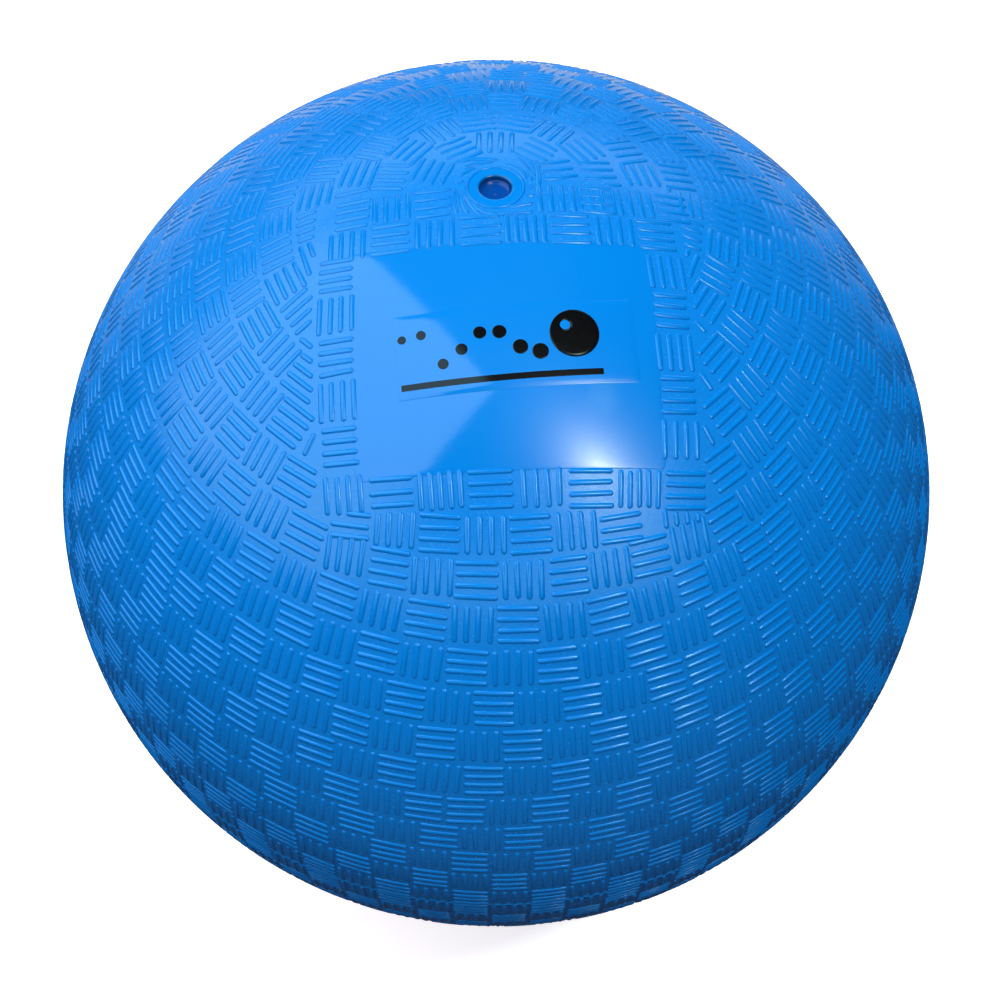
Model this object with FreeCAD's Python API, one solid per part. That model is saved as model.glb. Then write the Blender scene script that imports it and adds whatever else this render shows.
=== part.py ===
"""Playground rubber ball, 8.5 inch class, with its bladder, winding and inflation valve.

Origin at the ball's centre.  +Z runs out along the inflation valve's axis.  The smooth
window with the printed mark lies towards -Y, tilted down from the valve, so that the
ball's moulded parting line is the equator, in the XY plane.  Every shell of the wall is
concentric with the origin.  Millimetres throughout.
"""
import FreeCAD, Part
import os

from FreeCAD import Vector

os.makedirs("parts", exist_ok=True)

# ---- driving dimensions --------------------------------------------------------------
ball_diameter = 215.9            # 8.5 inch, over the tops of the moulded ridges
texture_height = 0.22            # ridges of the basket-weave texture above their floor
cover_thickness = 1.6            # rubber cover, measured under the texture
winding_thickness = 0.4          # nylon thread winding
bladder_thickness = 0.7          # butyl bladder

window_tilt = 19.5               # degrees from the valve axis to the window's centre
window_width = 57.6              # smooth window, across the meridian
window_height = 45.4             # smooth window, along the meridian
window_corner = 1.0

plate_width = 46.0               # low pad that carries the printed mark
plate_height = 17.0
plate_corner = 0.8
plate_rise = 0.12
plate_offset = (2.0, 0.6)        # pad's centre from the window's centre: right, up
mark_turn = 2.6                  # degrees, pad and mark turned anticlockwise in the window

parting_gap = 1.1                # floor of the texture left free along the parting line
parting_bead_width = 0.5
parting_bead_height = 0.16

valve_hole_diameter = 6.3        # opening in the cover and throat of the valve housing
valve_hole_round = 0.5           # rounded edge of the opening
valve_disc_diameter = 11.7       # smooth disc round the opening
valve_rim_width = 0.5            # raised rim that ends the texture round the disc
valve_rim_rise = 0.18

neck_diameter = 11.0             # valve housing's neck, through the winding and bladder
chamber_diameter = 8.4           # pocket in the housing that holds the valve core
chamber_floor_z = 94.0
housing_bottom_z = 92.6
housing_flange_diameter = 22.0
housing_flange_thickness = 1.2
air_port_diameter = 3.0          # lets the needle's air through the housing's floor
core_face_depth = 1.9            # valve core's outer face below the floor of the texture

core_waist_diameter = 7.4        # core's body between its head and its foot
core_head_length = 2.2
core_foot_length = 2.0
needle_bore_diameter = 1.9       # guide for a standard inflating needle
needle_bore_length = 6.0
needle_lead_in = 0.3             # chamfer at the guide's mouth

patch_diameter = 34.0            # reinforcement disc on the bladder's inner side
patch_thickness = 0.8

ink_thickness = 0.03
mark_length = 37.6               # the mark: a ball bouncing over a ground line
mark_offset = (-1.0, 0.3)        # mark's centre from the window's centre: right, up
ground_height = -5.2             # ground line's top edge, from the mark's centre
ground_thickness = 1.2
mark_ball_diameter = 9.4
mark_ball_lift = 7.1             # ball's centre above the ground line
shine_diameter = 1.9             # clear spot in the ball
shine_offset = (-1.6, 1.7)       # from the ball's centre: right, up
trail_hops = ((-16.0, 6.0, 9.0), (-2.0, 8.0, 7.5), (16.0, 10.0, 9.0))  # middle, half span, height
trail_dots = 8
trail_start = -18.0
trail_end = 7.4
first_dot_diameter = 1.6
last_dot_diameter = 3.1

# ---- sizes worked out from them ------------------------------------------------------
outer_radius = ball_diameter / 2
floor_radius = outer_radius - texture_height
cover_inner_radius = floor_radius - cover_thickness
winding_inner_radius = cover_inner_radius - winding_thickness
bladder_inner_radius = winding_inner_radius - bladder_thickness
patch_inner_radius = bladder_inner_radius - patch_thickness
flange_inner_radius = patch_inner_radius - housing_flange_thickness
plate_radius = floor_radius + plate_rise
core_face_z = floor_radius - core_face_depth
reach = 2 * outer_radius         # longer than anything that a cutting tool must pass


# ---- helpers -------------------------------------------------------------------------
def shell(outer, inner):
    """Hollow sphere about the origin."""
    return Part.makeSphere(outer).cut(Part.makeSphere(inner))


def post(diameter, low_z, high_z):
    """Round bar along the valve axis between two heights."""
    return Part.makeCylinder(diameter / 2, high_z - low_z, Vector(0, 0, low_z))


def rounded_box(width, height, corner):
    """Upright prism over a rounded rectangle centred on the Z axis, from the origin up."""
    box = Part.makeBox(width, height, reach, Vector(-width / 2, -height / 2, 0))
    upright = [edge for edge in box.Edges if abs(edge.tangentAt(edge.FirstParameter).z) > 0.9]
    return box.makeFillet(corner, upright)


def bar(low_x, low_y, high_x, high_y):
    """Upright prism over an axis-aligned rectangle, from the origin up."""
    return Part.makeBox(high_x - low_x, high_y - low_y, reach, Vector(low_x, low_y, 0))


def in_window(prism, offset=(0.0, 0.0), turn=0.0):
    """Carry a prism drawn about +Z to its place in the window, facing out of the ball."""
    placed = prism.copy()
    placed.rotate(Vector(0, 0, 0), Vector(0, 0, 1), turn)
    placed.translate(Vector(*offset, 0))
    placed.rotate(Vector(0, 0, 0), Vector(1, 0, 0), window_tilt)
    return placed


# ---- cover ---------------------------------------------------------------------------
def make_cover():
    """Outer rubber cover with its window, pad, parting bead, valve disc and opening."""
    window = in_window(rounded_box(window_width, window_height, window_corner))
    disc = post(valve_disc_diameter, 0, reach)
    gap = Part.makeCylinder(reach, parting_gap, Vector(0, 0, -parting_gap / 2))
    texture = Part.makeSphere(outer_radius).cut(window).cut(disc).cut(gap)

    plate = rounded_box(plate_width, plate_height, plate_corner)
    plate = Part.makeSphere(plate_radius).common(in_window(plate, plate_offset, mark_turn))

    bead_slab = Part.makeCylinder(reach, parting_bead_width, Vector(0, 0, -parting_bead_width / 2))
    bead = Part.makeSphere(floor_radius + parting_bead_height).common(bead_slab)

    rim_inside = post(valve_disc_diameter - 2 * valve_rim_width, 0, reach)
    rim = Part.makeSphere(floor_radius + valve_rim_rise).common(disc).cut(rim_inside)

    body = Part.makeSphere(floor_radius).multiFuse([texture, plate, bead, rim])
    body = body.cut(Part.makeSphere(cover_inner_radius))
    body = body.cut(post(valve_hole_diameter, 0, reach))
    mouth = [edge for edge in body.Edges if is_valve_mouth(edge)]
    return body.makeFillet(valve_hole_round, mouth)


def is_valve_mouth(edge):
    """True for the circle where the valve opening meets the outside of the cover."""
    if edge.Degenerated or not isinstance(edge.Curve, Part.Circle):
        return False
    if abs(edge.Curve.Radius - valve_hole_diameter / 2) > 0.01:
        return False
    return edge.Curve.Center.z > cover_inner_radius + cover_thickness / 2


# ---- wall under the cover ------------------------------------------------------------
def make_winding():
    """Nylon thread winding, open round the valve housing's neck."""
    return shell(cover_inner_radius, winding_inner_radius).cut(post(neck_diameter, 0, reach))


def make_bladder():
    """Butyl bladder that holds the air, open round the valve housing's neck."""
    return shell(winding_inner_radius, bladder_inner_radius).cut(post(neck_diameter, 0, reach))


def make_patch():
    """Reinforcement disc bonded to the inside of the bladder round the valve."""
    disc = shell(bladder_inner_radius, patch_inner_radius).common(post(patch_diameter, 0, reach))
    return disc.cut(post(neck_diameter, 0, reach))


# ---- valve ---------------------------------------------------------------------------
def make_housing():
    """Valve housing: neck, flange under the patch and the pocket for the core."""
    flange = shell(patch_inner_radius, flange_inner_radius)
    flange = flange.common(post(housing_flange_diameter, 0, reach))
    neck = post(neck_diameter, housing_bottom_z, reach)
    neck = neck.common(Part.makeSphere(cover_inner_radius))
    body = neck.fuse(flange)
    body = body.cut(post(valve_hole_diameter, core_face_z, reach))
    body = body.cut(post(chamber_diameter, chamber_floor_z, core_face_z))
    return body.cut(post(air_port_diameter, 0, reach)).removeSplitter()


def make_core():
    """Self-sealing plug: a head and a foot that fill the pocket, a waist, a needle guide."""
    head = post(chamber_diameter, core_face_z - core_head_length, core_face_z)
    waist = post(core_waist_diameter, chamber_floor_z, core_face_z)
    foot = post(chamber_diameter, chamber_floor_z, chamber_floor_z + core_foot_length)
    body = head.multiFuse([waist, foot]).removeSplitter()
    guide = post(needle_bore_diameter, core_face_z - needle_lead_in - needle_bore_length, core_face_z)
    guide_radius = needle_bore_diameter / 2
    mouth_z = core_face_z - needle_lead_in
    lead_in = Part.makeCone(guide_radius, guide_radius + needle_lead_in, needle_lead_in, Vector(0, 0, mouth_z))
    return body.cut(guide).cut(lead_in)


# ---- printed mark --------------------------------------------------------------------
def trail_height(x):
    """Height of the ball's path above the ground line, over hops shaped as parabolas."""
    for middle, half_span, height in trail_hops:
        if x < middle + half_span:
            return height * (1 - ((x - middle) / half_span) ** 2)


def disc_prism(diameter, x, y):
    """Upright prism over a disc, from the origin up."""
    return Part.makeCylinder(diameter / 2, reach, Vector(x, y, 0))


def make_mark_prisms():
    """Prisms of the mark: the ground line, the ball and its trail of growing dots."""
    half_length = mark_length / 2
    ground = bar(-half_length, ground_height - ground_thickness, half_length, ground_height)
    ball_x = half_length - mark_ball_diameter / 2
    ball_y = ground_height + mark_ball_lift
    ball = disc_prism(mark_ball_diameter, ball_x, ball_y)
    ball = ball.cut(disc_prism(shine_diameter, ball_x + shine_offset[0], ball_y + shine_offset[1]))
    prisms = [ground, ball]
    for number in range(trail_dots):
        fraction = number / (trail_dots - 1)
        x = trail_start + fraction * (trail_end - trail_start)
        diameter = first_dot_diameter + fraction * (last_dot_diameter - first_dot_diameter)
        y = ground_height + diameter / 2 + trail_height(x)
        prisms.append(disc_prism(diameter, x, y))
    return prisms


def make_mark():
    """Ink film on the pad in the shape of the mark."""
    film = shell(plate_radius + ink_thickness, plate_radius)
    prisms = [in_window(prism, mark_offset, mark_turn) for prism in make_mark_prisms()]
    return Part.makeCompound([film.common(prism) for prism in prisms])


# ---- export --------------------------------------------------------------------------
nodes = {
    "cover": make_cover(),
    "nylon_winding": make_winding(),
    "bladder": make_bladder(),
    "valve_patch": make_patch(),
    "valve_housing": make_housing(),
    "valve_core": make_core(),
    "printed_mark": make_mark(),
}

for name, shape in nodes.items():
    shape.exportStep("parts/" + name + ".step")
    box = shape.BoundBox
    print(name, "solids", len(shape.Solids), "valid", shape.isValid(), "mm3", round(shape.Volume, 1))
    print("   low ", round(box.XMin, 2), round(box.YMin, 2), round(box.ZMin, 2))
    print("   high", round(box.XMax, 2), round(box.YMax, 2), round(box.ZMax, 2))
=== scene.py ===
"""Looks of the playground ball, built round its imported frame.

The ball's centre is the origin, +Z runs out through the inflation valve and the smooth
window faces -Y.  Small sizes are written in millimetres and turned into metres by MM.
A place on the ball is given by its polar angle from the valve and its azimuth from the
window's meridian, both in degrees, with the azimuth growing towards +X.
"""
from collections import namedtuple
import math

import bpy
import numpy as np
from mathutils import Matrix, Vector


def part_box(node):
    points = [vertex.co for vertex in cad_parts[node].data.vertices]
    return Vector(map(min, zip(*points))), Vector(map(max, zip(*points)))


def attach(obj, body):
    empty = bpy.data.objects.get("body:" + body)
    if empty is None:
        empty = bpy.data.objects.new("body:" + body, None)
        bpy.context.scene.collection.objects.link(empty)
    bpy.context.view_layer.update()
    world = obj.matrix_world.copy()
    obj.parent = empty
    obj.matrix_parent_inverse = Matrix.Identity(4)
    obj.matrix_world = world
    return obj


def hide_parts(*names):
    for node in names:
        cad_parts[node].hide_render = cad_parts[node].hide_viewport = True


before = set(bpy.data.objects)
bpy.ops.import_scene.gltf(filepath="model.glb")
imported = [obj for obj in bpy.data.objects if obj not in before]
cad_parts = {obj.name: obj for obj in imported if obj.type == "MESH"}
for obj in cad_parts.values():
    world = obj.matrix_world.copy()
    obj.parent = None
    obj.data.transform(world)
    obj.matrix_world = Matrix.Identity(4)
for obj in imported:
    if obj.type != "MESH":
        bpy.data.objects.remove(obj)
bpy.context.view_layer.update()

MM = 0.001

# ---- sizes taken from the frame ----
OUTER_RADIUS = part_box("cover")[1].x
COVER_INNER_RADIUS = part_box("nylon_winding")[1].x

# ---- sizes of the moulded cover, in metres ----
TEXTURE_HEIGHT = 0.27 * MM
FLOOR_RADIUS = OUTER_RADIUS - TEXTURE_HEIGHT
BAR_HALF_WIDTH = 0.60 * MM
BAR_SINK = 0.15  # how deep a bar's foot is sunk in the floor, as a share of its height
BAR_LEVELS = (1.0, 0.75, 0.4)  # half widths of a bar's outlines, from its foot up
PITCH_ALONG_MERIDIAN = 2.14 * MM
PITCH_ALONG_PARALLEL = 2.22 * MM
WIDEST_PITCH = 2.4 * MM
SHORTEST_BAR = 1.3 * MM
VALVE_HOLE_RADIUS = 3.15 * MM
VALVE_DISC_RADIUS = 5.85 * MM
VALVE_RIM_WIDTH = 0.6 * MM
VALVE_RIM_RISE = 0.2 * MM
VALVE_RIM_OVERLAP = 0.2 * MM  # how far the bars may run into the rim
VALVE_EDGE_ROUND = 0.5 * MM
CORE_WAIST_RADIUS = 3.7 * MM
CORE_FACE_RADIUS = 3.3 * MM
CORE_FOOT_HEIGHT = 2.0 * MM
CORE_HEAD_HEIGHT = 2.2 * MM
LIP_START = 2.35 * MM  # the valve core's face curls up from here to the hole's wall
LIP_RISE = 0.6 * MM
DIMPLE_RADIUS = 0.35 * MM
DIMPLE_DEPTH = 0.06 * MM
PARTING_BEAD_HEIGHT = 0.16 * MM
PARTING_BEAD_SECTION = ((-0.13, 0), (-0.09, 0.7), (0, 1), (0.09, 0.7), (0.13, 0))
WINDOW_SIZE = (57.6 * MM, 45.4 * MM)
WINDOW_RISE = 0.02 * MM
PAD_SIZE = (46.0 * MM, 17.0 * MM)
PAD_CENTRE = (2.0 * MM, 0.6 * MM)
PAD_RISE = 0.12 * MM
PAD_CORNER = 0.8 * MM
PAD_EDGE = 1.2 * MM
INK_THICKNESS = 0.03 * MM
INK_SINK = 0.03 * MM  # how deep the ink's underside lies in the pad
MARK_CENTRE = (-1.0 * MM, 0.3 * MM)
MARK_TURN = 2.6  # degrees
MARK_LENGTH = 37.6 * MM
GROUND_HEIGHT = -5.2 * MM
GROUND_THICKNESS = 1.2 * MM  # of the printed line that the printed ball bounces on
MARK_BALL_RADIUS = 4.7 * MM
MARK_BALL_LIFT = 7.1 * MM
SHINE_RADIUS = 0.95 * MM
SHINE_OFFSET = (-1.6 * MM, 1.7 * MM)
# Each hop of the printed ball: its middle, half its span and its height.
TRAIL_HOPS = (
    (-16 * MM, 6 * MM, 9 * MM),
    (-2 * MM, 8 * MM, 7.5 * MM),
    (16 * MM, 10 * MM, 9 * MM),
)
TRAIL_DOTS = 8
TRAIL_START = -18.0 * MM
TRAIL_END = 7.4 * MM
FIRST_DOT_RADIUS = 0.8 * MM
LAST_DOT_RADIUS = 1.55 * MM

# ---- layout of the basket weave ----
WINDOW_TILT = 19.5  # degrees from the valve to the window's centre
RING_STEP = 4.5  # degrees from one ring of tiles to the next
RINGS = 40
FIRST_FULL_RING = 3  # the rings nearer the valve are laid out one by one
BELT_NAMES = ("grip_upper_cap", "grip_upper_belt", "grip_lower_belt", "grip_lower_cap")
CAP_START = 0.5  # height, as a share of the radius, past which a tile is in a cap
TILES_ROUND_EQUATOR = 80
RING_GAP_BESIDE = 0.5 * MM  # left free between the bars of two tiles beside each other
RING_GAP_ABOVE = 1.1 * MM  # and between the bars of two tiles above each other
BLOCK_GAP = 0.85 * MM  # the same, both ways, in the block round the window
BLOCK_TILE = 4.35  # degrees that a tile in the block takes up across its line
CROWN_TILE = 3.9  # degrees across a tile behind the valve


# ---- places on the ball ----
def on_ball(polar, azimuth):
    """Unit vector of the place at a polar angle and azimuth."""
    t, a = math.radians(polar), math.radians(azimuth)
    return np.array([math.sin(t) * math.sin(a), -math.sin(t) * math.cos(a), math.cos(t)])


def east(azimuth):
    """Unit vector along the parallel, towards growing azimuth."""
    a = math.radians(azimuth)
    return np.array([math.cos(a), math.sin(a), 0.0])


WINDOW_OUT = on_ball(WINDOW_TILT, 0)
WINDOW_RIGHT = east(0)
WINDOW_UP = np.cross(WINDOW_OUT, WINDOW_RIGHT)


def in_block(x, y):
    """Unit vector of the place x degrees right of and y degrees above the window's centre."""
    away = math.hypot(x, y)
    if away == 0:
        return WINDOW_OUT
    sideways = (x * WINDOW_RIGHT + y * WINDOW_UP) / away
    return math.cos(math.radians(away)) * WINDOW_OUT + math.sin(math.radians(away)) * sideways


def block_place(points):
    """Degrees right of and above the window's centre, for an array of unit vectors."""
    right, up, out = points @ WINDOW_RIGHT, points @ WINDOW_UP, points @ WINDOW_OUT
    sideways = np.maximum(np.hypot(right, up), 1e-9)
    away = np.degrees(np.arctan2(sideways, out))
    return away * right / sideways, away * up / sideways


# ---- layout of the basket weave ----
# A tile holds bars along the parallel ("H"), along the meridian ("V") or both ("X").
# Round each ring the tiles alternate between the azimuths given here, which are all H tiles;
# two of them a tile apart stand side by side.  The rings below the equator mirror these.
RING_ANCHORS = {
    3: (101.5, 130.3, 145.8, 174.8, 205.8, 220.5, 252.5),
    4: (66, 162, 213, 286),
    5: (58.5, 98.2, 106.9, 166, 175, 216.5, 226.3, 310),
    6: (49.4, 101.7, 153.5, 205.7, 258.2, 312.7),
    7: (42.7, 89.2, 96.9, 144.3, 227.7, 235.2, 315.7),
    8: (-26.8, 2.0, 16.4, 36.7, 106.7, 243.9, 271, 278.5, 322.3),
    9: (-60.8, -19.2, -6.3, 7.2, 19.6, 32.9, 85, 246),
    10: (-12.8, -0.4, 24.5, 35.2, 40.6, 77, 254.2, 302.3, 308.5),
    11: (-7,),
    12: (-52.1, -46.7, -3.5, 18.1, 23.5),
    13: (0,),
    14: (-4.5,),
    15: (-11.3, -6.5),
    16: (0,),
    17: (-6,),
    18: (-1.5,),
    19: (-6,),
}
UNSEEN_RING_TURN = 7.0  # degrees that each ring with no anchors is turned past the last

# The rings lean back to the right, fully down to one ring and less and less to the equator.
RING_LEAN = 0.6
LEAN_AZIMUTH = 120
LAST_FULL_LEAN = 10

WIDEST_STEP = 1.04  # the most room that a tile fills, as a share of a ring's usual step
USUAL_BARS = 4  # bars in a tile, but for some in the block round the window

# The two rings below the window are flattened in front, where they follow its edge: how far
# they drop at the sides, in degrees, and the share of their turn that is left.
FLATTENED_REACH = 31
FLATTENED = {8: (1.5, 0.4), 9: (0.2, 0.6)}

# The two short rings behind the valve: their polar angle, and their tiles by the angle that
# each lies from the back.
CROWN_MIDDLE = 177
CROWN = ((7.2, "-68H -33H 0V 36H 70V"), (11.5, "-76V -54H -31V -10H 11H 32V 54H 74V"))

# Rows and columns of tiles squared up with the window: where the middle of the line lies,
# where it starts and how far apart its tiles are, all in degrees from the window's centre.
# A row also has its slope.
BLOCK_ROWS = (
    (17.8, -17.6, 4.35, 0, "H4 V4 H4 -- -- V4 X4 V4 H4"),
    (13.7, -18.3, 4.69, 0, "V4 H4 V4 H4 V5 H4 V4 H4"),
    (-13.9, -19.5, 4.97, -0.03, "V4 H3 V5 H4 V4 H4 V5 H4"),
)
BLOCK_COLUMNS = (
    (-17.1, 12.5, -4.67, "H4 V4 H4 V4 H4"),
    (17.4, 11.3, -4.57, "V4 H4 V4 H4 V4"),
)
BLOCK_LEFT, BLOCK_RIGHT, BLOCK_BOTTOM, BLOCK_TOP = -19.6, 19.9, -15.8, 20.1
BLOCK_BOTTOM_SLOPE = -0.035

# Bars bent round the valve's disc: three places that each passes, in degrees right of and
# behind the valve.
BENT_TURN = -3.0  # degrees that these places are turned about the valve
BENT_BARS = (
    ((-3.9, -3.8), (-4.3, -1.9), (-4.3, 0.0)),
    ((-2.8, -3.8), (-3.35, -2.2), (-3.65, -0.4)),
    ((-1.7, -3.8), (-2.5, -2.5), (-3.15, -1.1)),
    ((-0.75, -3.8), (-1.75, -3.0), (-2.65, -1.9)),
    ((0.15, -3.9), (-0.9, -3.5), (-1.9, -2.75)),
    ((3.95, 0.2), (3.7, 0.2), (3.45, 0.2)),
    ((3.95, -1.05), (3.65, -1.1), (3.35, -1.2)),
    ((3.95, -2.25), (2.6, -2.5), (1.6, -2.95)),
    ((3.9, -3.4), (2.1, -3.6), (0.4, -3.8)),
    ((-3.9, 4.1), (-1.8, 4.35), (0.35, 4.1)),
    ((-3.4, 2.9), (-2.05, 3.6), (-0.2, 3.75)),
    ((-3.75, 1.7), (-3.1, 2.4), (-2.1, 3.0)),
    ((-3.9, 0.75), (-3.65, 0.9), (-3.4, 1.1)),
    ((1.3, 3.4), (2.5, 2.55), (3.2, 1.2)),
    ((2.2, 4.6), (3.25, 2.9), (3.7, 0.95)),
    ((3.25, 4.4), (3.85, 2.9), (4.0, 1.7)),
    ((4.2, 4.4), (4.5, 2.4), (4.5, 0.3)),
)
BENT_SECTIONS = 17
BENT_END = 0.2  # share of a bent bar's half length over which it rounds off
POLE_PATCH = 4.7  # half the width of the square patch of tiles opposite the valve


Tile = namedtuple("Tile", "out right up kind bars width height")


def make_tile(out, right, kind, bars, width, height):
    """A tile's place and axes on the ball, its kind and the room that its bars take."""
    right = right - (right @ out) * out
    right /= np.linalg.norm(right)
    return Tile(out, right, np.cross(out, right), kind, bars, width, height)


def leaned(vector, ring):
    """A unit vector carried over to the leaning axis of a ring."""
    equator = RINGS / 2 - 1
    share = min(1.0, max(0.0, (equator - ring) / (equator - LAST_FULL_LEAN)))
    hinge = Vector((0, 0, 1)).cross(Vector(on_ball(90, LEAN_AZIMUTH)))
    return np.array(Matrix.Rotation(math.radians(share * RING_LEAN), 3, hinge) @ Vector(vector))


def ring_tile(ring, azimuth, kind, step):
    """One tile of a ring, whose tiles are step degrees of azimuth apart."""
    polar = (ring + 0.5) * RING_STEP
    width = math.radians(step * math.sin(math.radians(polar))) * FLOOR_RADIUS - RING_GAP_BESIDE
    height = math.radians(RING_STEP) * FLOOR_RADIUS - RING_GAP_ABOVE
    facing = azimuth
    from_front = (azimuth + 180) % 360 - 180
    if ring in FLATTENED and abs(from_front) < FLATTENED_REACH:
        drop, share = FLATTENED[ring]
        polar += drop * (from_front / FLATTENED_REACH) ** 2
        facing = share * from_front
    out = leaned(on_ball(polar, azimuth), ring)
    right = leaned(east(facing), ring)
    return make_tile(out, right, kind, USUAL_BARS, width, height)


def ring_tiles(ring):
    """Tiles of one ring round the valve's axis, filled in evenly between its anchors."""
    around = math.sin(math.radians((ring + 0.5) * RING_STEP))
    usual = 360 / (TILES_ROUND_EQUATOR * around)
    anchors = RING_ANCHORS.get(min(ring, RINGS - 1 - ring), (UNSEEN_RING_TURN * ring,))
    tiles = []
    for first, last in zip(anchors, anchors[1:] + (anchors[0] + 360,)):
        steps = (last - first) / usual
        count = 1 if steps < 1.5 else 2 * round(steps / 2)
        step = (last - first) / count
        room = min(step, WIDEST_STEP * usual)
        for number in range(count):
            kind = "V" if number % 2 else "H"
            tiles.append(ring_tile(ring, first + number * step, kind, room))
    return tiles


def crown_tiles():
    """Tiles of the two short rings that close round the back of the valve."""
    size = math.radians(CROWN_TILE) * FLOOR_RADIUS
    tiles = []
    for polar, names in CROWN:
        for name in names.split():
            azimuth = CROWN_MIDDLE - float(name[:-1])
            out = on_ball(polar, azimuth)
            tiles.append(make_tile(out, east(azimuth), name[-1], USUAL_BARS, size, size))
    return tiles


def block_tile(x, y, kind, bars, width, height):
    """A tile squared up with the window; its width and height are in degrees."""
    width, height = (math.radians(size) * FLOOR_RADIUS - BLOCK_GAP for size in (width, height))
    right = in_block(x + 0.1, y) - in_block(x - 0.1, y)
    return make_tile(in_block(x, y), right, kind, bars, width, height)


def block_tiles():
    """The rows and columns of tiles round the smooth window."""
    tiles = []
    for y, start, step, slope, names in BLOCK_ROWS:
        for number, name in enumerate(names.split()):
            x = start + (number + 0.5) * step
            if name != "--":
                tiles.append(block_tile(x, y + slope * x, name[0], int(name[1]), step, BLOCK_TILE))
    for x, start, step, names in BLOCK_COLUMNS:
        for number, name in enumerate(names.split()):
            y = start + (number + 0.5) * step
            tiles.append(block_tile(x, y, name[0], int(name[1]), BLOCK_TILE, abs(step)))
    return tiles


def pole_tiles():
    """Four tiles squared up about the point opposite the valve."""
    half = POLE_PATCH / 2
    size = math.radians(POLE_PATCH) * FLOOR_RADIUS - RING_GAP_ABOVE
    tiles = []
    for x, y in ((-half, -half), (half, -half), (half, half), (-half, half)):
        out = np.array([math.radians(x), math.radians(y), -1.0])
        out /= np.linalg.norm(out)
        kind = "H" if x * y > 0 else "V"
        tiles.append(make_tile(out, east(0), kind, USUAL_BARS, size, size))
    return tiles


# ---- bars of the weave ----
rng = np.random.default_rng(85)

# How unevenly the bars are cut: spreads of their turn in degrees, of their place and length
# in metres, and the usual height and its spread as shares of TEXTURE_HEIGHT.
TILE_TURN_SPREAD = 1.0
BAR_TURN_SPREAD = 0.7
ASIDE_SPREAD = 0.04 * MM
SHIFT_SPREAD = 0.08 * MM
LENGTH_SPREAD = 0.10 * MM
USUAL_RISE, RISE_SPREAD = 0.95, 0.03
CROSSED_RISE = 0.6  # of the bars along the meridian in an X tile
CLIP_SAMPLES = 25


def tile_bars(tile):
    """Bars of one tile: each is (middle, direction along it, half its length, its height)."""
    bars = []
    tile_turn = rng.normal(0, TILE_TURN_SPREAD)
    for kind in ("H", "V") if tile.kind == "X" else (tile.kind,):
        along, across = (tile.right, tile.up) if kind == "H" else (tile.up, tile.right)
        length, room = (tile.width, tile.height) if kind == "H" else (tile.height, tile.width)
        pitch = PITCH_ALONG_MERIDIAN if kind == "H" else PITCH_ALONG_PARALLEL
        if tile.bars != USUAL_BARS:
            pitch = min((room + BLOCK_GAP) / tile.bars, WIDEST_PITCH)
        rise = CROSSED_RISE if tile.kind == "X" and kind == "V" else 1.0
        for number in range(tile.bars):
            turn = math.radians(tile_turn + rng.normal(0, BAR_TURN_SPREAD))
            heading = along * math.cos(turn) + across * math.sin(turn)
            aside = (number - (tile.bars - 1) / 2) * pitch + rng.normal(0, ASIDE_SPREAD)
            shift = rng.normal(0, SHIFT_SPREAD)
            middle = tile.out + (aside * across + shift * along) / FLOOR_RADIUS
            half = (length + rng.normal(0, LENGTH_SPREAD)) / 2
            height = TEXTURE_HEIGHT * rise * min(1.0, rng.normal(USUAL_RISE, RISE_SPREAD))
            bars.append((middle / np.linalg.norm(middle), heading, half, height))
    return bars


def outside_valve(points):
    """True where points are clear of the smooth disc round the valve, or just on its lip."""
    aside = np.hypot(points[:, 0], points[:, 1]) * FLOOR_RADIUS
    return (aside > VALVE_DISC_RADIUS - VALVE_RIM_OVERLAP) | (points[:, 2] < 0)


def outside_block(points):
    """True where points are clear of the block round the window and of the pole patch."""
    x, y = block_place(points)
    block = (x > BLOCK_LEFT) & (x < BLOCK_RIGHT) & (y < BLOCK_TOP)
    block &= y > BLOCK_BOTTOM + BLOCK_BOTTOM_SLOPE * x
    reach = math.sin(math.radians(POLE_PATCH))
    patch = (np.abs(points[:, 0]) < reach) & (np.abs(points[:, 1]) < reach) & (points[:, 2] < 0)
    return outside_valve(points) & ~block & ~patch


def clip(bar, allowed):
    """The longest stretch of a bar that lies where it is allowed, or None."""
    middle, along, half, height = bar
    steps = np.linspace(-half, half, CLIP_SAMPLES)
    points = middle + np.outer(steps, along) / FLOOR_RADIUS
    points /= np.linalg.norm(points, axis=1)[:, None]
    free = allowed(points)
    if free.all():
        return bar
    runs = np.split(np.arange(CLIP_SAMPLES), np.flatnonzero(np.diff(free.astype(int))) + 1)
    best = max((run for run in runs if free[run[0]]), key=len, default=None)
    if best is None:
        return None
    low, high = steps[best[0]], steps[best[-1]]
    if high - low < SHORTEST_BAR:
        return None
    middle = middle + (low + high) / 2 * along / FLOOR_RADIUS
    return middle / np.linalg.norm(middle), along, (high - low) / 2, height


def bar_rise(width, fullness=1.0):
    """Height of a bar, as a share of its full height, at a place across it from -1 to 1."""
    return (1 + BAR_SINK) * (1 - width * width) * fullness - BAR_SINK


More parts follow.
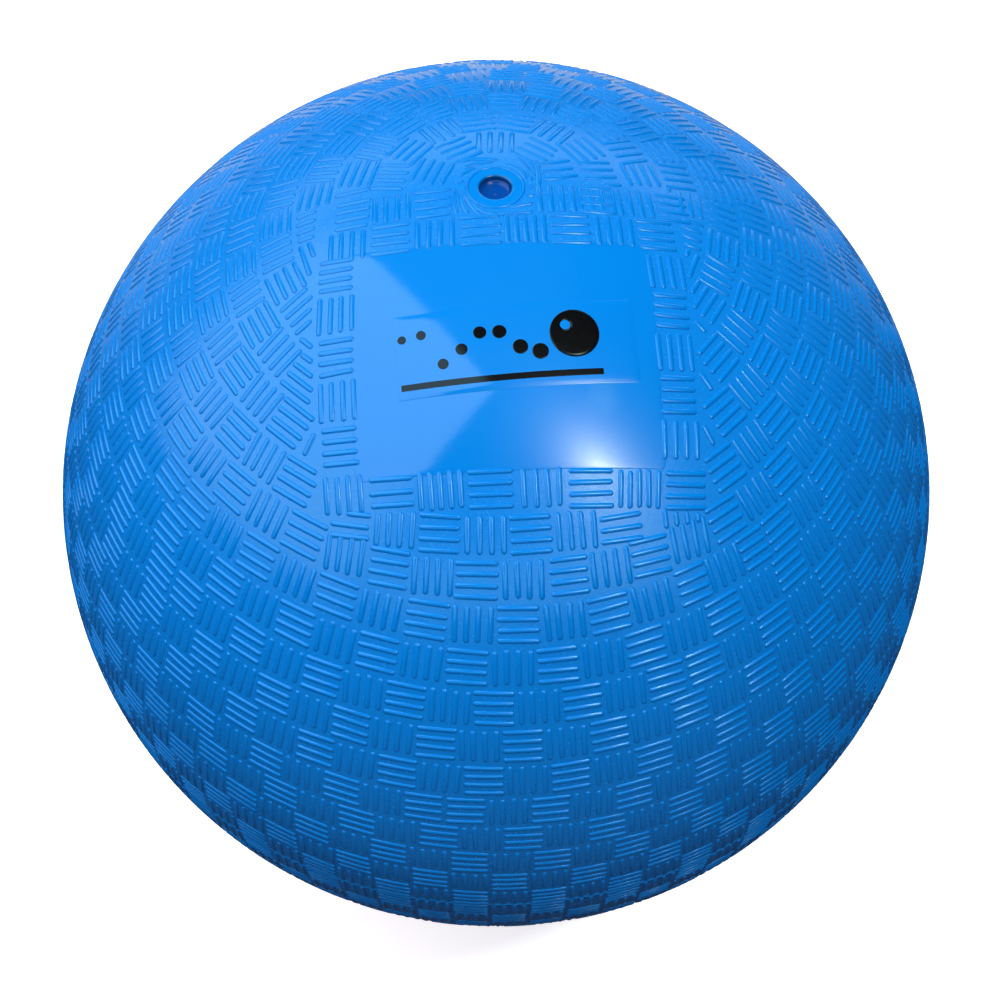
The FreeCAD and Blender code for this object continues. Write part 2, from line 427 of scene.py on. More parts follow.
def bar_template():
    """Vertices of one bar as (end, along, across, share of height), and its faces.

    end is -1, 0 or 1 and places the vertex by the bar's half length; along and across are
    offsets in half widths.  The section is a parabola, and both ends are round.
    """
    verts, faces = [], []
    for width in BAR_LEVELS:
        outline = []
        for side in (1, -1):
            outline += [(side, 0, side * width), (0, 0, side * width), (-side, 0, side * width)]
            for a in np.radians((45, 90, 135)):
                outline.append((-side, -side * width * math.sin(a), side * width * math.cos(a)))
        verts += [(end, along, across, bar_rise(width)) for end, along, across in outline]
    count = len(outline)
    for level in range(len(BAR_LEVELS) - 1):
        low, high = level * count, (level + 1) * count
        for i in range(count):
            j = (i + 1) % count
            faces.append((low + i, low + j, high + j, high + i))
    crown = len(verts)
    verts += [(end, 0, 0, 1.0) for end in (1, 0, -1)]
    top = crown - count
    faces += [(top, top + 1, crown + 1, crown), (top + 1, top + 2, crown + 2, crown + 1)]
    faces += [(top + 6, top + 7, crown + 1, crown + 2), (top + 7, top + 8, crown, crown + 1)]
    faces += [(top + i, top + i + 1, crown + 2) for i in range(2, 6)]
    faces += [(top + i, top + (i + 1) % count, crown) for i in range(8, 12)]
    faces.append(tuple(reversed(range(count))))
    return np.array(verts), faces


BAR_VERTS, BAR_FACES = bar_template()


def bars_mesh(bars):
    """Vertices and faces of many bars, each a closed loaf with its foot sunk in the floor."""
    middle = np.array([bar[0] for bar in bars])
    along = np.array([bar[1] for bar in bars])
    half = np.array([bar[2] for bar in bars]) - BAR_HALF_WIDTH
    height = np.array([bar[3] for bar in bars])
    across = np.cross(middle, along)
    across /= np.linalg.norm(across, axis=1)[:, None]
    along = np.cross(across, middle)
    end, lengthwise, sideways, rise = BAR_VERTS.T
    lengthwise = end * half[:, None] + lengthwise * BAR_HALF_WIDTH
    sideways = np.broadcast_to(sideways * BAR_HALF_WIDTH, lengthwise.shape)
    points = middle[:, None, :] + lengthwise[:, :, None] * along[:, None, :] / FLOOR_RADIUS
    points += sideways[:, :, None] * across[:, None, :] / FLOOR_RADIUS
    points /= np.linalg.norm(points, axis=2)[:, :, None]
    points *= (FLOOR_RADIUS + rise * height[:, None])[:, :, None]
    count = len(BAR_VERTS)
    faces = [tuple(i + n * count for i in face) for n in range(len(bars)) for face in BAR_FACES]
    return points.reshape(-1, 3), faces


def bent_bar(places):
    """Vertices and faces of a bar that curves through three places near the valve."""
    first, middle, last = (np.array(place) for place in places)
    control = 2 * middle - (first + last) / 2
    widths = [-width for width in BAR_LEVELS] + [0.0] + list(reversed(BAR_LEVELS))
    verts, faces = [], []
    for t in np.linspace(0, 1, BENT_SECTIONS):
        place = (1 - t) ** 2 * first + 2 * t * (1 - t) * control + t ** 2 * last
        heading = (1 - t) * (control - first) + t * (last - control)
        aside = np.array((-heading[1], heading[0])) / np.linalg.norm(heading)
        past_body = max(0.0, abs(2 * t - 1) - (1 - BENT_END)) / BENT_END
        fullness = math.sqrt(max(0.0, 1 - past_body ** 2))
        half_width = max(fullness, 0.1) * math.degrees(BAR_HALF_WIDTH / FLOOR_RADIUS)
        for width in widths:
            spot = place + aside * width * half_width
            rise = bar_rise(width, fullness) * TEXTURE_HEIGHT
            azimuth = math.degrees(math.atan2(spot[0], -spot[1])) + BENT_TURN
            verts.append(on_ball(math.hypot(*spot), azimuth) * (FLOOR_RADIUS + rise))
    across = len(widths)
    for row in range(BENT_SECTIONS - 1):
        for column in range(across):
            a, b = row * across + column, row * across + (column + 1) % across
            faces.append((a, b, b + across, a + across))
    return verts, faces


# ---- objects ----
def add_object(name, verts, faces, material, node):
    """A smooth-shaded piece of the ball that rides on its one body."""
    mesh = bpy.data.meshes.new(name)
    mesh.from_pydata([tuple(v) for v in verts], [], faces)
    mesh.validate()
    mesh.polygons.foreach_set("use_smooth", [len(face) <= 4 for face in faces])
    piece = bpy.data.objects.new(name, mesh)
    bpy.context.scene.collection.objects.link(piece)
    mesh.materials.append(material)
    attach(piece, "root")
    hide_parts(node)


def lathe(profile, segments):
    """Vertices and faces of (radius, z) points turned about Z, closed at both poles."""
    turns = np.linspace(0, 2 * math.pi, segments, endpoint=False)
    rings = profile[1:-1]
    verts = [(0, 0, profile[0][1])]
    verts += [(r * math.cos(a), r * math.sin(a), z) for r, z in rings for a in turns]
    verts.append((0, 0, profile[-1][1]))
    last = len(verts) - 1
    end_ring = last - segments
    faces = []
    for i in range(segments):
        j = (i + 1) % segments
        faces.append((0, 1 + j, 1 + i))
        faces.append((last, end_ring + i, end_ring + j))
        for ring in range(len(rings) - 1):
            low, high = 1 + ring * segments, 1 + (ring + 1) * segments
            faces.append((low + i, low + j, high + j, high + i))
    return verts, faces


def arc(radius, from_polar, to_polar, count):
    """Points of a circle about the ball's centre, as (radius, z), without the last."""
    polars = np.radians(np.linspace(from_polar, to_polar, count, endpoint=False))
    return [(radius * math.sin(p), radius * math.cos(p)) for p in polars]


def surface_point(aside, rise):
    """The (radius, z) point at a distance from the valve's axis, rise above the floor."""
    radius = FLOOR_RADIUS + rise
    return aside, math.sqrt(radius ** 2 - aside ** 2)


def opening_profile():
    """The cover's section from its inside up through the valve opening to its rounded edge."""
    hole = math.degrees(math.asin(VALVE_HOLE_RADIUS / COVER_INNER_RADIUS))
    inside = arc(COVER_INNER_RADIUS, 180, hole, 90)
    wall_low = math.sqrt(COVER_INNER_RADIUS ** 2 - VALVE_HOLE_RADIUS ** 2)
    wall_high = surface_point(VALVE_HOLE_RADIUS + VALVE_EDGE_ROUND, 0)[1] - VALVE_EDGE_ROUND
    wall = [(VALVE_HOLE_RADIUS, z) for z in np.linspace(wall_low, wall_high, 6)]
    edge = []
    for lean in np.radians((18, 36, 54, 72, 90)):
        aside = VALVE_HOLE_RADIUS + VALVE_EDGE_ROUND * (1 - math.cos(lean))
        edge.append((aside, wall_high + VALVE_EDGE_ROUND * math.sin(lean)))
    return inside + wall + edge


def cover_profile():
    """The cover's section: inside, valve opening, disc, and outside with its parting bead."""
    opening = opening_profile()
    rim_start = VALVE_DISC_RADIUS - VALVE_RIM_WIDTH
    disc = [surface_point(a, 0) for a in np.linspace(opening[-1][0], rim_start, 6)[1:]]
    disc += [surface_point(a, 0) for a in np.linspace(rim_start, VALVE_DISC_RADIUS, 4)[1:]]
    start = math.degrees(math.asin(VALVE_DISC_RADIUS / FLOOR_RADIUS)) + 0.3
    outside = arc(FLOOR_RADIUS, start, 90 + PARTING_BEAD_SECTION[0][0], 110)
    for degrees_past, share in PARTING_BEAD_SECTION:
        radius = FLOOR_RADIUS + PARTING_BEAD_HEIGHT * share
        outside.append((radius, -FLOOR_RADIUS * math.radians(degrees_past)))
    outside += arc(FLOOR_RADIUS, 90.8, 180, 112)
    return opening + disc + outside + [(0, -FLOOR_RADIUS)]


def add_cover_body(material):
    """The cover without its weave, hollow and with the valve opening through it."""
    verts, faces = lathe(cover_profile(), 288)
    add_object("cover_body", verts, faces, material, "cover")


def grip_tiles():
    """Every tile of the weave, with the test of where its bars are allowed."""
    rings = [tile for ring in range(FIRST_FULL_RING, RINGS) for tile in ring_tiles(ring)]
    everywhere = [(tile, outside_block) for tile in crown_tiles() + rings]
    return everywhere + [(tile, outside_valve) for tile in block_tiles() + pole_tiles()]


def add_grip(material):
    """The basket weave, split into upper and lower caps and belts. The basket weave, in
    belts that each stay small enough to export whole.
    """
    belts = {name: [] for name in BELT_NAMES}
    for tile, allowed in grip_tiles():
        name = "grip_upper" if tile.out[2] > 0 else "grip_lower"
        name += "_cap" if abs(tile.out[2]) > CAP_START else "_belt"
        for bar in tile_bars(tile):
            kept = clip(bar, allowed)
            if kept:
                belts[name].append(kept)
    for name, bars in belts.items():
        verts, faces = bars_mesh(bars)
        add_object(name, verts, faces, material, "cover")


def add_bent_bars(material):
    """The bars that bend round the valve's disc."""
    verts, faces = [], []
    for places in BENT_BARS:
        bar_verts, bar_faces = bent_bar(places)
        faces += [tuple(i + len(verts) for i in face) for face in bar_faces]
        verts += bar_verts
    add_object("grip_round_valve", verts, faces, material, "cover")


def add_valve_lip(material):
    """The thin rounded lip that ends the texture round the smooth disc."""
    profile = []
    for width in np.linspace(-1, 1, 9):
        aside = VALVE_DISC_RADIUS - VALVE_RIM_WIDTH / 2 * (1 - width)
        profile.append(surface_point(aside, VALVE_RIM_RISE * bar_rise(width)))
    segments = 144
    turns = np.linspace(0, 2 * math.pi, segments, endpoint=False)
    verts = [(r * math.cos(a), r * math.sin(a), z) for a in turns for r, z in profile]
    count = len(profile)
    faces = []
    for i in range(segments):
        for j in range(count):
            a, b = i * count, (i + 1) % segments * count
            faces.append((a + j, b + j, b + (j + 1) % count, a + (j + 1) % count))
    add_object("valve_lip", verts, faces, material, "cover")


def core_profile():
    """The valve core's section: foot, waist and head, with a face that curls up to the wall."""
    low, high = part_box("valve_core")
    reach = high.x
    foot, head = low.z + CORE_FOOT_HEIGHT, high.z - CORE_HEAD_HEIGHT
    points = [(0, low.z), (reach - 0.2 * MM, low.z), (reach, low.z + 0.2 * MM), (reach, foot)]
    points += [(CORE_WAIST_RADIUS, foot + 0.1 * MM), (CORE_WAIST_RADIUS, head - 0.1 * MM)]
    points += [(reach, head), (reach, high.z - 0.5 * MM)]
    for aside in np.linspace(CORE_FACE_RADIUS, 0.0, 34):
        curled = max(0.0, aside - LIP_START) / (VALVE_HOLE_RADIUS - LIP_START)
        dimple = DIMPLE_DEPTH * math.exp(-(aside / DIMPLE_RADIUS) ** 2)
        points.append((aside, high.z + LIP_RISE * curled ** 2 - dimple))
    return points


def add_valve_core(material):
    """The plug that seals the valve opening at its bottom."""
    verts, faces = lathe(core_profile(), 96)
    add_object("core_plug", verts, faces, material, "valve_core")


# ---- the smooth window's pad and its printed mark ----
def on_window(x, y, centre, rise, turn):
    """Point rise above the floor, x right of and y above a centre given in the window."""
    a = math.radians(turn)
    right = centre[0] + x * math.cos(a) - y * math.sin(a)
    up = centre[1] + x * math.sin(a) + y * math.cos(a)
    out = math.sqrt((FLOOR_RADIUS + rise) ** 2 - right ** 2 - up ** 2)
    return right * WINDOW_RIGHT + up * WINDOW_UP + out * WINDOW_OUT


def slab(rows, centre, low, around=False, turn=MARK_TURN):
    """Closed slab whose top is a grid of (x, y, rise) and whose underside lies at low.

    With around, the last row joins the first, so that the slab is a ring.
    """
    across = len(rows[0])
    count = len(rows) * across
    verts = [on_window(x, y, centre, rise, turn) for row in rows for x, y, rise in row]
    verts += [on_window(x, y, centre, low, turn) for row in rows for x, y, rise in row]
    faces = []
    for i in range(len(rows) if around else len(rows) - 1):
        a, b = i * across, (i + 1) % len(rows) * across
        for j in range(across - 1):
            faces.append((a + j, b + j, b + j + 1, a + j + 1))
            faces.append((count + a + j, count + a + j + 1, count + b + j + 1, count + b + j))
        faces.append((a, count + a, count + b, b))
        a, b = a + across - 1, b + across - 1
        faces.append((a, b, count + b, count + a))
    if not around:
        last = count - across
        for j in range(across - 1):
            faces.append((j, j + 1, count + j + 1, count + j))
            faces.append((last + j, count + last + j, count + last + j + 1, last + j + 1))
    return verts, faces


def depth_inside(x, y, size, corner):
    """How far a point lies inside the edge of a rounded rectangle."""
    across = abs(x) - size[0] / 2 + corner
    up = abs(y) - size[1] / 2 + corner
    return corner - math.hypot(max(across, 0), max(up, 0)) - min(max(across, up), 0)


def mirrored(outer, count):
    """Places from -outer[0] to +outer[0]: the outer ones given, the inner ones evenly spaced."""
    inner = np.linspace(-outer[-1], outer[-1], count)
    return [-place for place in outer[:-1]] + list(inner) + outer[-2::-1]


def rounded_rows(size, corner, rise, edge):
    """Grid over a rounded rectangle whose top rises to its full height over a soft edge."""
    half_width, half_height = size[0] / 2, size[1] / 2
    ends = [half_width - corner * (1 - math.cos(a)) for a in np.radians((12, 30, 50, 70, 90))]
    rows = []
    for x in mirrored(ends, max(3, round(size[0] / MM))):
        past = max(0.0, abs(x) - half_width + corner)
        reach = half_height - corner + math.sqrt(corner ** 2 - past ** 2)
        outer = [reach, reach - 0.35 * edge, reach - 0.7 * edge, reach - edge]
        row = []
        for y in mirrored(outer, max(3, round(size[1] / MM))):
            share = min(1.0, max(0.0, depth_inside(x, y, size, corner) / edge))
            row.append((x, y, rise * (1 - math.cos(share * math.pi)) / 2))
        rows.append(row)
    return rows


def disc_rows(x, y, radius, rise):
    """Square grid pressed into a round disc."""
    steps = np.linspace(-1, 1, 15)
    rows = []
    for u in steps:
        rows.append([(x + radius * u * math.sqrt(1 - v * v / 2),
                      y + radius * v * math.sqrt(1 - u * u / 2), rise) for v in steps])
    return rows


def holed_disc_rows(x, y, radius, hole, hole_radius, rise):
    """Rows from a round hole out to a disc's edge, one for each step round the hole."""
    rows = []
    for a in np.linspace(0, 2 * math.pi, 72, endpoint=False):
        around = np.array((math.cos(a), math.sin(a)))
        inner = np.array((x, y)) + hole + hole_radius * around
        outer = np.array((x, y)) + radius * around
        rows.append([(*(inner + t * (outer - inner)), rise) for t in np.linspace(0, 1, 9)])
    return rows


def add_window(material):
    """The window's polished floor, a hair above the cover's, and the low pad in its middle."""
    floor = rounded_rows(WINDOW_SIZE, 1.0 * MM, WINDOW_RISE, 0.5 * MM)
    pad = rounded_rows(PAD_SIZE, PAD_CORNER, PAD_RISE, PAD_EDGE)
    floor_mesh = slab(floor, (0, 0), -0.3 * MM, turn=0)
    pad_mesh = slab(pad, PAD_CENTRE, -0.2 * MM)
    for name, (verts, faces) in (("window_floor", floor_mesh), ("window_pad", pad_mesh)):
        add_object(name, verts, faces, material, "cover")


def path_height(x):
    """Height of the printed ball's bouncing path above the ground line."""
    for middle, half_span, height in TRAIL_HOPS:
        if abs(x - middle) <= half_span:
            return height * (1 - ((x - middle) / half_span) ** 2)
    return 0.0


def ground_line_rows(top):
    """The printed line under the printed ball."""
    rows = rounded_rows((MARK_LENGTH, GROUND_THICKNESS), 0.1 * MM, top, 0.02 * MM)
    middle = GROUND_HEIGHT - GROUND_THICKNESS / 2
    return [[(x, y + middle, top) for x, y, rise in row] for row in rows]


def printed_ball_rows(top):
    """The printed ball with the round hole of its shine."""
    x = MARK_LENGTH / 2 - MARK_BALL_RADIUS
    y = GROUND_HEIGHT + MARK_BALL_LIFT
    return holed_disc_rows(x, y, MARK_BALL_RADIUS, SHINE_OFFSET, SHINE_RADIUS, top)


def trail_dot_rows(number, top):
    """One dot of the trail, which grow towards the printed ball."""
    share = number / (TRAIL_DOTS - 1)
    x = TRAIL_START + share * (TRAIL_END - TRAIL_START)
    radius = FIRST_DOT_RADIUS + share * (LAST_DOT_RADIUS - FIRST_DOT_RADIUS)
    return disc_rows(x, GROUND_HEIGHT + radius + path_height(x), radius, top)


def add_mark(material):
    """The printed mark: a ball bouncing over a ground line, with a trail of growing dots."""
    top = PAD_RISE + INK_THICKNESS
    shapes = {"mark_ground_line": ground_line_rows(top), "mark_ball": printed_ball_rows(top)}
    for number in range(TRAIL_DOTS):
        shapes[f"mark_dot_{number + 1}"] = trail_dot_rows(number, top)
    for name, rows in shapes.items():
        verts, faces = slab(rows, MARK_CENTRE, PAD_RISE - INK_SINK, around=name == "mark_ball")
        add_object(name, verts, faces, material, "printed_mark")


# ---- materials ----
class Nodes:
    """Nodes of a material or of the world, worked out from a place or a direction."""

    def __init__(self, owner, place):
        owner.use_nodes = True
        self.tree = owner.node_tree
        self.tree.nodes.clear()
        self.place = self.node("TexCoord").outputs[place]

    def link(self, source, target):
        self.tree.links.new(source, target)

    def node(self, kind, **settings):
        node = self.tree.nodes.new("ShaderNode" + kind)
        for name, value in settings.items():
            setattr(node, name, value)
        return node

    def math(self, operation, *values):
        node = self.node("Math", operation=operation)
        for socket, value in zip(node.inputs, values):
            if isinstance(value, bpy.types.NodeSocket):
                self.link(value, socket)
            else:
                socket.default_value = value
        return node.outputs[0]

    def along(self, axis):
        """How far the place or direction lies along a vector."""
        node = self.node("VectorMath", operation="DOT_PRODUCT")
        self.link(self.place, node.inputs[0])
        node.inputs[1].default_value = tuple(axis)
        return node.outputs["Value"]

    def span(self, value, low, high, to_low=0.0, to_high=1.0, kind="LINEAR"):
        """Value carried from one range to another, and held at its ends."""
        node = self.node("MapRange", interpolation_type=kind)
        self.link(value, node.inputs["Value"])
        ends = {"From Min": low, "From Max": high, "To Min": to_low, "To Max": to_high}
        for name, number in ends.items():
            node.inputs[name].default_value = number
        return node.outputs[0]


class Shader(Nodes):
    """A principled material that is put together from procedural nodes."""

    def __init__(self, name, **sockets):
        self.material = bpy.data.materials.new(name)
        super().__init__(self.material, "Object")
        output = self.node("OutputMaterial")
        self.principled = self.node("BsdfPrincipled")
        self.link(self.principled.outputs["BSDF"], output.inputs["Surface"])
        for socket, value in sockets.items():
            self.principled.inputs[socket.replace("_", " ")].default_value = value

    def noise(self, size, detail=2.0):
        """Noise whose blotches are about as big as size."""
        node = self.node("TexNoise")
        self.link(self.place, node.inputs["Vector"])
        node.inputs["Scale"].default_value = 0.5 / size
        node.inputs["Detail"].default_value = detail
        return node.outputs["Fac"]

    def grain(self, size, low, high):
        """Fine blotches between two values."""
        return self.span(self.noise(size, 3.0), 0.3, 0.7, low, high)

    def mix(self, share, first, second):
        node = self.node("Mix", data_type="RGBA")
        self.link(share, node.inputs["Factor"])
        for name, value in (("A", first), ("B", second)):
            socket = [s for s in node.inputs if s.name == name and s.type == "RGBA"][0]
            if isinstance(value, bpy.types.NodeSocket):
                self.link(value, socket)
            else:
                socket.default_value = (*value, 1.0)
        return [s for s in node.outputs if s.type == "RGBA"][0]

    def squared(self, axis):
        """Square of how far the surface point lies along a unit vector."""
        reach = self.along(axis)
        return self.math("MULTIPLY", reach, reach)

    def colour(self, source):
        self.link(source, self.principled.inputs["Base Color"])

    def roughness(self, source):
        self.link(source, self.principled.inputs["Roughness"])

    def bump(self, height, depth):
        """Relief of that depth, in metres, from a height between 0 and 1."""
        node = self.node("Bump")
        node.inputs["Strength"].default_value = 1.0
        node.inputs["Distance"].default_value = depth
        self.link(height, node.inputs["Height"])
        self.link(node.outputs["Normal"], self.principled.inputs["Normal"])


BLUE = (0.0, 0.20, 0.63)
DEEP_BLUE = (0.0, 0.18, 0.59)
# Painted shade: the rubber in the valve's throat is coloured this darker blue, fading out at
# THROAT_REACH from the axis.
PAINTED_SHADE_BLUE = (0.0, 0.05, 0.20)
THROAT_REACH = 3.6 * MM  # from the valve's axis to where the throat's shade has faded

# What the rubber makes of white light in its gloss: on bars, in the window and elsewhere.
BLUE_GLOSS = (0.35, 0.75, 1.0, 1.0)
POLISHED_GLOSS = (0.50, 0.78, 0.95, 1.0)
PALE_GLOSS = (0.55, 0.90, 0.75, 1.0)


def clouded_blue(s):
    """The blue of the rubber, with faint clouds."""
    return s.mix(s.noise(22 * MM, 3.0), BLUE, DEEP_BLUE)


def near_valve(s, full, none):
    """1 nearer to the valve's axis than full and 0 beyond none, on the valve's side only."""
    from_axis = s.math("SQRT", s.math("ADD", s.squared((1, 0, 0)), s.squared((0, 1, 0))))
    upper_side = s.span(s.along((0, 0, 1)), 0.0, 10 * MM)
    return s.math("MULTIPLY", s.span(from_axis, full, none, 1.0, 0.0), upper_side)


def cover_rubber():
    """Blue moulded rubber as it lies between the bars, with a fine grain.

    Painted shade darkens it in the valve's throat, and it is smoother on the disc round the valve.
    """
    s = Shader("blue_rubber", Specular_IOR_Level=0.7, Specular_Tint=PALE_GLOSS)
    # painted shade: the colour darkens in the valve's throat, where shade falls
    throat_shade = near_valve(s, VALVE_HOLE_RADIUS, THROAT_REACH)
    s.colour(s.mix(throat_shade, clouded_blue(s), PAINTED_SHADE_BLUE))
    on_disc = near_valve(s, VALVE_DISC_RADIUS, VALVE_DISC_RADIUS + 0.2 * MM)
    dullness = s.span(on_disc, 0.0, 1.0, 1.0, 0.35)
    s.roughness(s.math("MULTIPLY", s.grain(0.5 * MM, 0.21, 0.29), dullness))
    s.bump(s.noise(0.22 * MM, 3.0), 0.026 * MM)
    return s.material


def window_rubber():
    """The same rubber where the mould is polished, in the window."""
    s = Shader("blue_rubber_smooth", Specular_IOR_Level=0.8, Specular_Tint=POLISHED_GLOSS)
    s.colour(clouded_blue(s))
    s.roughness(s.grain(0.5 * MM, 0.07, 0.11))
    s.bump(s.noise(0.6 * MM, 3.0), 0.005 * MM)
    return s.material


def bar_rubber():
    """The same rubber on the raised bars, polished a little by handling."""
    s = Shader("blue_rubber_bars", Specular_IOR_Level=0.8, Specular_Tint=BLUE_GLOSS)
    s.colour(clouded_blue(s))
    s.roughness(s.grain(0.6 * MM, 0.10, 0.16))
    s.bump(s.noise(0.3 * MM, 2.0), 0.006 * MM)
    return s.material


def black_ink():
    """Glossy screen-printed ink."""
    s = Shader("black_ink", Specular_IOR_Level=0.5, Specular_Tint=(0.4, 0.8, 1.0, 1.0))
    s.colour(s.mix(s.noise(0.6 * MM, 4.0), (0.001, 0.001, 0.0012), (0.004, 0.004, 0.005)))
    s.roughness(s.grain(0.35 * MM, 0.08, 0.12))
    s.bump(s.noise(0.18 * MM, 2.0), 0.004 * MM)
    return s.material


def valve_rubber():
    """Glossy dark blue soft rubber of the valve."""
    s = Shader("navy_rubber", Specular_IOR_Level=0.5, Specular_Tint=(0.5, 0.8, 1.0, 1.0))
    s.colour(s.mix(s.noise(0.8 * MM, 3.0), (0.0, 0.045, 0.25), (0.0, 0.06, 0.31)))
    s.roughness(s.grain(0.5 * MM, 0.12, 0.2))
    s.bump(s.noise(0.5 * MM, 3.0), 0.006 * MM)
    return s.material


def butyl_rubber():
    """Matt black inner rubber with faint clouding from talc."""
    s = Shader("black_butyl", Specular_IOR_Level=0.35)
    s.colour(s.mix(s.noise(9 * MM, 4.0), (0.012, 0.012, 0.013), (0.045, 0.045, 0.048)))
    s.roughness(s.grain(3 * MM, 0.55, 0.75))
    s.bump(s.noise(0.5 * MM, 3.0), 0.03 * MM)
    return s.material


THREAD_PITCH = 0.45 * MM
THREAD_AXES = ((0.0, 0.28, 0.96), (0.85, 0.1, 0.52), (-0.55, 0.8, 0.24), (0.2, -0.75, 0.63))


def nylon_thread():
    """Off-white threads wound round the bladder, crossing each other in four directions."""
    s = Shader("nylon_winding", Specular_IOR_Level=0.4, Sheen_Weight=0.2)
    layers = []
    for axis in THREAD_AXES:
        ridge = s.math("SINE", s.math("MULTIPLY", s.along(axis), 2 * math.pi / THREAD_PITCH))
        layers.append(s.math("MULTIPLY", s.math("ADD", ridge, 1.0), 0.5))
    height = layers[0]
    for layer in layers[1:]:
        height = s.math("MAXIMUM", s.math("MULTIPLY", height, 0.9), layer)
    s.colour(s.mix(height, (0.36, 0.34, 0.29), (0.80, 0.78, 0.72)))
    s.roughness(s.span(height, 0.0, 1.0, 0.75, 0.5))
    s.bump(height, 0.12 * MM)
    return s.material


def dress(node, material):
    """Give a carried-over CAD node a material."""
    for slot in bpy.data.objects[node].material_slots:
        slot.material = material


# ---- stage, light and camera ----
FLOOR_REACH = 3.0

# The big softbox at the left: its front right corner, the directions of its two sides from
# there and their lengths.
SOFTBOX_CORNER = (-0.025, -0.231, 1.264)
SOFTBOX_ALONG = (-0.509, 0.836, -0.203)
SOFTBOX_DOWN = (-0.579, -0.509, -0.637)
SOFTBOX_SIZE = (1.45, 1.2)
SOFTBOX_POWER = 10.9
SOFTBOX_COLOUR = (1.0, 0.91, 0.95)

# Lights hung towards a direction: azimuth and elevation in degrees, distance, size, power.
KEY_LIGHT = (64, 64, 1.3, (0.17, 0.17), 7.4)
KEY_COLOUR = (0.95, 1.12, 1.12)
FRONT_LIGHT = (8, 36, 1.7, (2.4, 0.4), 4.5)
BACK_LIGHT = (180, 30, 1.5, (2.2, 0.35), 3.5)
TOP_LIGHT_PLACE = (-0.2, 0.5, 1.9)
TOP_LIGHT_SIZE = (1.6, 1.6)
TOP_LIGHT_POWER = 19.0

# The glow that stands for the key light in the gloss, lower than the lamp and nearer the front.
GLOW_AZIMUTH = 41.0
GLOW_ELEVATION = 52.6
GLOW_REACH = (0.070, 0.11)  # how fast it fades sideways and upwards, in radians
GLOW_COLOUR = (36.0, 23.0, 16.0)

# How bright the room is: as the gloss shows it, and as it lights the ball.
BACKDROP_COLOUR = (0.95, 0.96, 0.97)
SHADE_COLOUR = (0.90, 0.82, 1.0)
DARK_ROOM, GROUND_BEHIND, GROUND_IN_FRONT = 0.03, 0.75, 0.09
SHADE_BELOW, SHADE_ABOVE, SHADE_RIGHT = 0.04, 0.24, 0.06

CAMERA_AZIMUTH = -3.1
CAMERA_ELEVATION = 56.4
CAMERA_AWAY = 3.3 * OUTER_RADIUS
CAMERA_AIM = (0.92 * MM, -1.66 * MM)  # right of and above the ball's centre
CAMERA_LENS = 49.1
CAMERA_SENSOR = 36.0


def add_floor():
    """Pale floor under the ball."""
    mesh = bpy.data.meshes.new("studio_floor")
    reach = (-FLOOR_REACH, FLOOR_REACH)
    mesh.from_pydata([(x, y, -OUTER_RADIUS) for x in reach for y in reach], [], [(0, 2, 3, 1)])
    floor = bpy.data.objects.new("studio_floor", mesh)
    bpy.context.scene.collection.objects.link(floor)
    s = Shader("studio_floor", Specular_IOR_Level=0.0, Roughness=0.7,
               Emission_Strength=0.55, Emission_Color=(1.0, 1.0, 1.0, 1.0))
    s.colour(s.mix(s.noise(0.4, 2.0), (0.90, 0.905, 0.91), (0.94, 0.94, 0.94)))
    mesh.materials.append(s.material)
    floor.visible_glossy = False
    floor.visible_diffuse = False


def placed(place, right, up):
    """Matrix that puts an object at a place, with its own X and Y along right and up."""
    matrix = Matrix((right, up, right.cross(up))).transposed().to_4x4()
    matrix.translation = place
    return matrix


def add_area_light(name, middle, right, up, size, power, colour=(1, 1, 1)):
    """Rectangular light whose face looks along right x up reversed, at the ball."""
    light = bpy.data.lights.new(name, "AREA")
    light.shape = "RECTANGLE"
    light.size, light.size_y = size
    light.energy = power
    light.color = colour
    lamp = bpy.data.objects.new(name, light)
    bpy.context.scene.collection.objects.link(lamp)
    lamp.matrix_world = placed(middle, right, up)
    return lamp


def add_softbox():
    """The big softbox at the left, hung from its front right corner."""
    along, down = Vector(SOFTBOX_ALONG).normalized(), Vector(SOFTBOX_DOWN).normalized()
    middle = Vector(SOFTBOX_CORNER) + along * SOFTBOX_SIZE[0] / 2 + down * SOFTBOX_SIZE[1] / 2
    add_area_light("softbox", middle, along, down, SOFTBOX_SIZE, SOFTBOX_POWER, SOFTBOX_COLOUR)


def add_light_toward(name, azimuth, elevation, away, size, power):
    """Rectangular light out in a direction given in degrees, its first side level."""
    toward = Vector(on_ball(90 - elevation, azimuth))
    right = Vector((0, 0, 1)).cross(toward).normalized()
    return add_area_light(name, toward * away, right, toward.cross(right), size, power)


def add_key_light():
    """The sun-like light from the front right; the world holds its glow in the gloss."""
    lamp = add_light_toward("key_light", *KEY_LIGHT)
    lamp.data.color = KEY_COLOUR
    lamp.data.shape = "DISK"
    lamp.visible_glossy = False


def add_strip_lights():
    """Long strips before and behind the ball, which only draw bright lines along the bars."""
    for name, place in (("front_light", FRONT_LIGHT), ("back_light", BACK_LIGHT)):
        lamp = add_light_toward(name, *place)
        lamp.visible_diffuse = False


def add_top_light():
    """Wide soft light high over the ball, a little behind it."""
    middle = Vector(TOP_LIGHT_PLACE)
    away = middle.normalized()
    right = Vector((0, 1, 0)).cross(away).normalized()
    up = away.cross(right)
    lamp = add_area_light("top_light", middle, right, up, TOP_LIGHT_SIZE, TOP_LIGHT_POWER)
    lamp.visible_glossy = False


